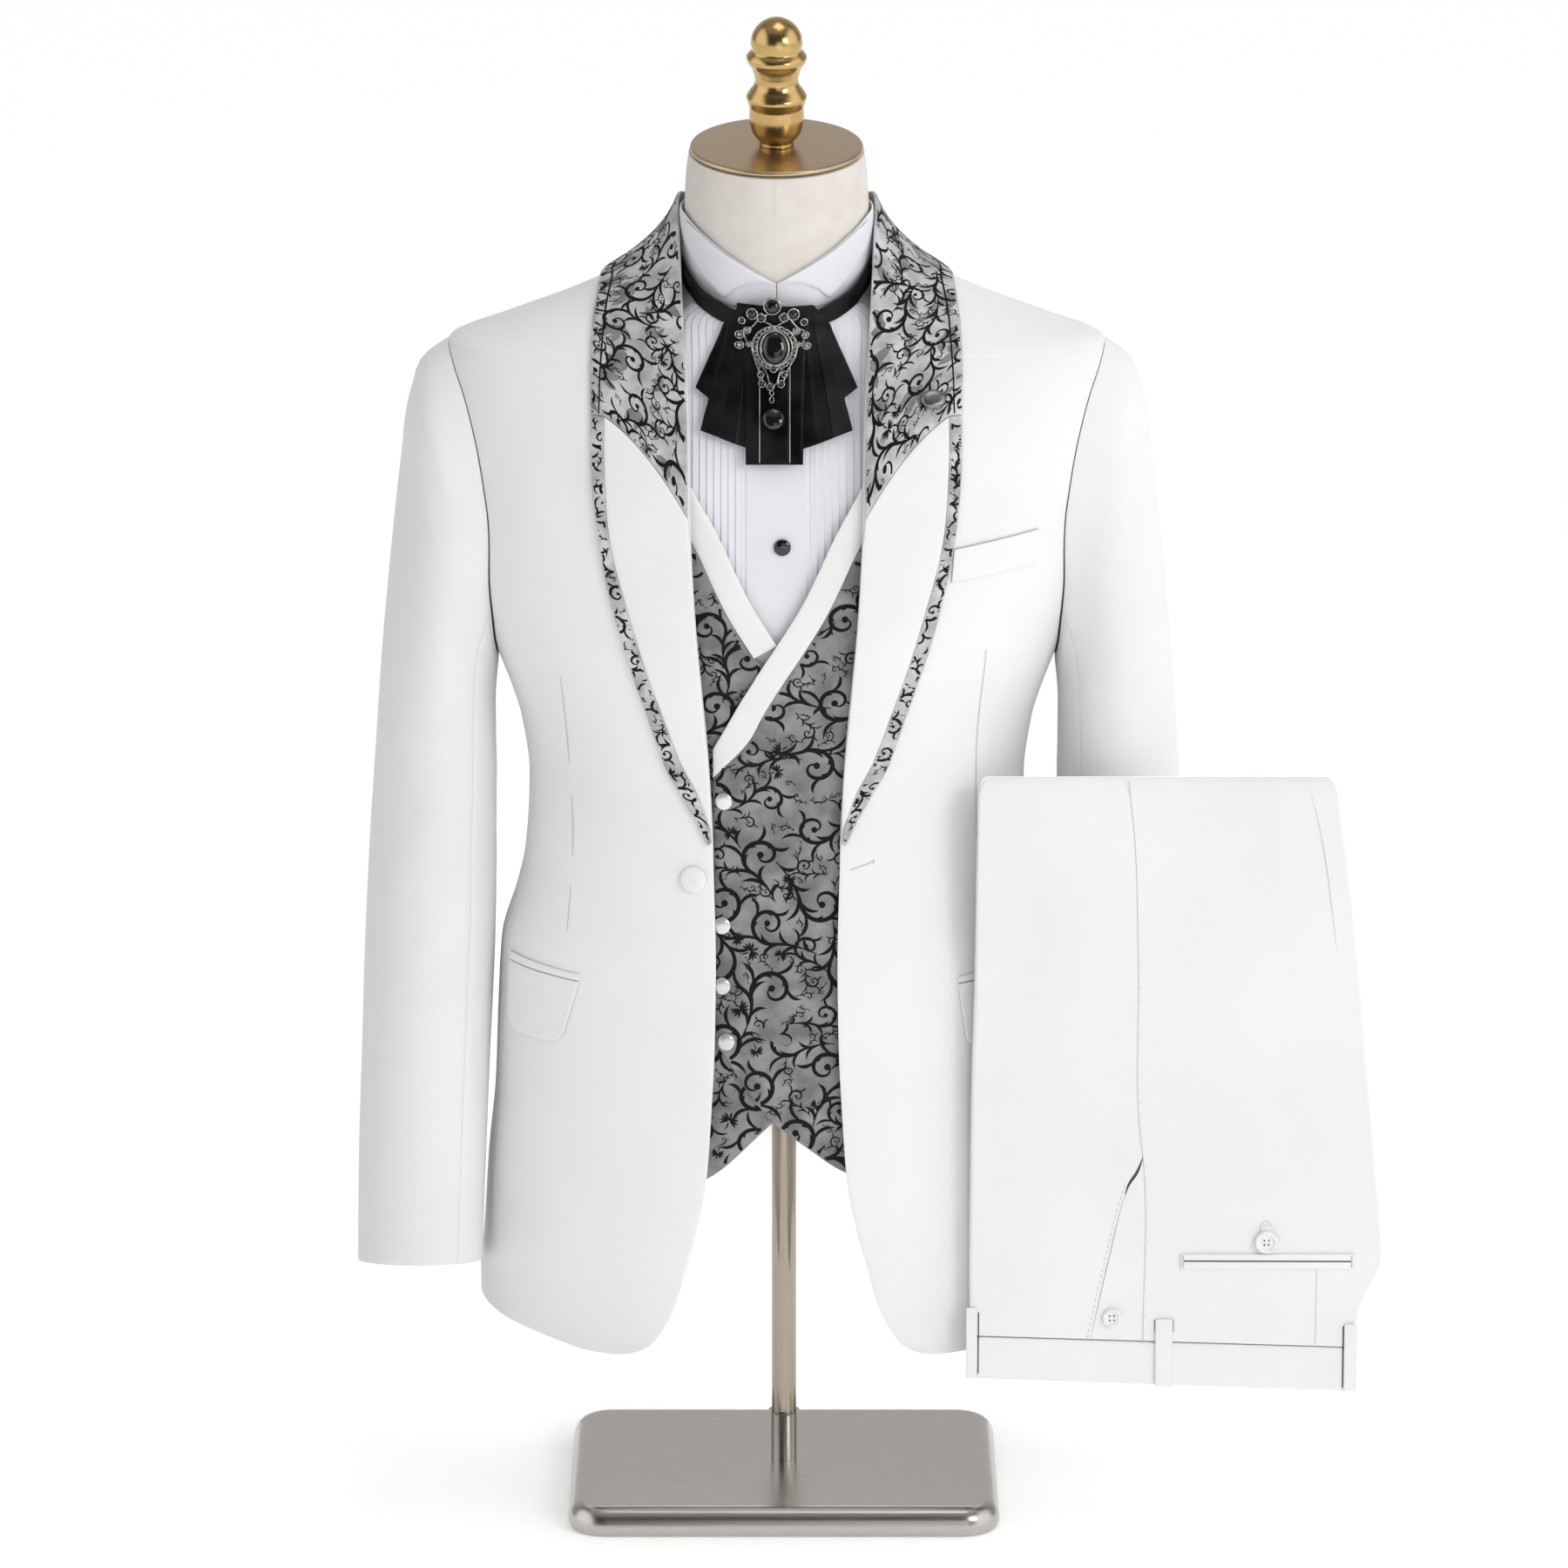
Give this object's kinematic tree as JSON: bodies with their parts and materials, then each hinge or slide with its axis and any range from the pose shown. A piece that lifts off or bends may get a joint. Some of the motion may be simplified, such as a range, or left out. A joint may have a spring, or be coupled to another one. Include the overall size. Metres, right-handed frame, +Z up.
{
  "type": "three-piece tuxedo on a dress form",
  "caption": "White evening jacket with brocade collar over a brocade vest, pleated shirt front and black bow with brooch, on a footed dress form, with folded trousers resting at its side.",
  "frame": {"origin": "centre of the base's underside, on the surface it stands on", "axes": "+Z up, the jacket's front faces -Y, +X to the viewer's right"},
  "size_m": [0.7041, 0.2447, 1.0444],
  "materials": {
    "base_steel": "brushed, warm grey, polished edge",
    "pole_nickel": "satin champagne nickel",
    "form_linen": "tight cream linen cover",
    "brass": "polished finial, brushed cap",
    "white_wool": "matt white suiting",
    "vest_brocade": "grey satin with black woven scrolls",
    "collar_brocade": "silver satin with black outlined scrolls",
    "silver_satin": "silver-grey satin over domed buttons",
    "shirt_cotton": "white cotton with fine pleats",
    "black_satin": "black satin",
    "jet": "black faceted stones in dark silver filigree"
  },
  "bodies": {
    "root": {"stand_base": "base_steel", "stand_ferrule": "base_steel", "stand_pole": "pole_nickel", "dress_form": "form_linen", "neck_cap": "brass", "neck_finial": "brass", "vest_front_right": "vest_brocade", "vest_front_left": "vest_brocade", "upper_collar": "collar_brocade", "lapel_band_right": "collar_brocade", "lapel_band_left": "collar_brocade", "collar_button": "silver_satin", "vest_button_1": "silver_satin", "vest_button_2": "silver_satin", "vest_button_3": "silver_satin", "vest_button_4": "silver_satin", "shirt_front": "shirt_cotton", "shirt_collar": "shirt_cotton", "shirt_wing_right": "shirt_cotton", "shirt_wing_left": "shirt_cotton", "vest_back": "black_satin", "bow_strap": "black_satin", "bow_upper_wing_right": "black_satin", "bow_upper_wing_left": "black_satin", "bow_lower_wing_right": "black_satin", "bow_lower_wing_left": "black_satin", "bow_tail": "black_satin", "shirt_stud": "jet", "brooch": "jet", "brooch_bead": "jet", "jacket_front_right": "white_wool", "jacket_front_left": "white_wool", "jacket_side_right": "white_wool", "jacket_side_left": "white_wool", "jacket_back_right": "white_wool", "jacket_back_left": "white_wool", "sleeve_top_right": "white_wool", "sleeve_top_left": "white_wool", "sleeve_under_right": "white_wool", "sleeve_under_left": "white_wool", "lapel_right": "white_wool", "lapel_left": "white_wool", "collar_stand": "white_wool", "hip_flap_right": "white_wool", "hip_flap_left": "white_wool", "hip_jet_right": "white_wool", "hip_jet_left": "white_wool", "breast_welt": "white_wool", "jacket_button": "white_wool", "trouser_legs": "white_wool", "trouser_waistband": "white_wool", "belt_loop_left": "white_wool", "belt_loop_middle": "white_wool", "belt_loop_right": "white_wool", "back_pocket_welt": "white_wool", "pocket_button_tab": "white_wool", "pocket_button": "white_wool", "side_button": "white_wool", "vest_band_right": "white_wool", "vest_band_left": "white_wool"}
  },
  "joints": []
}
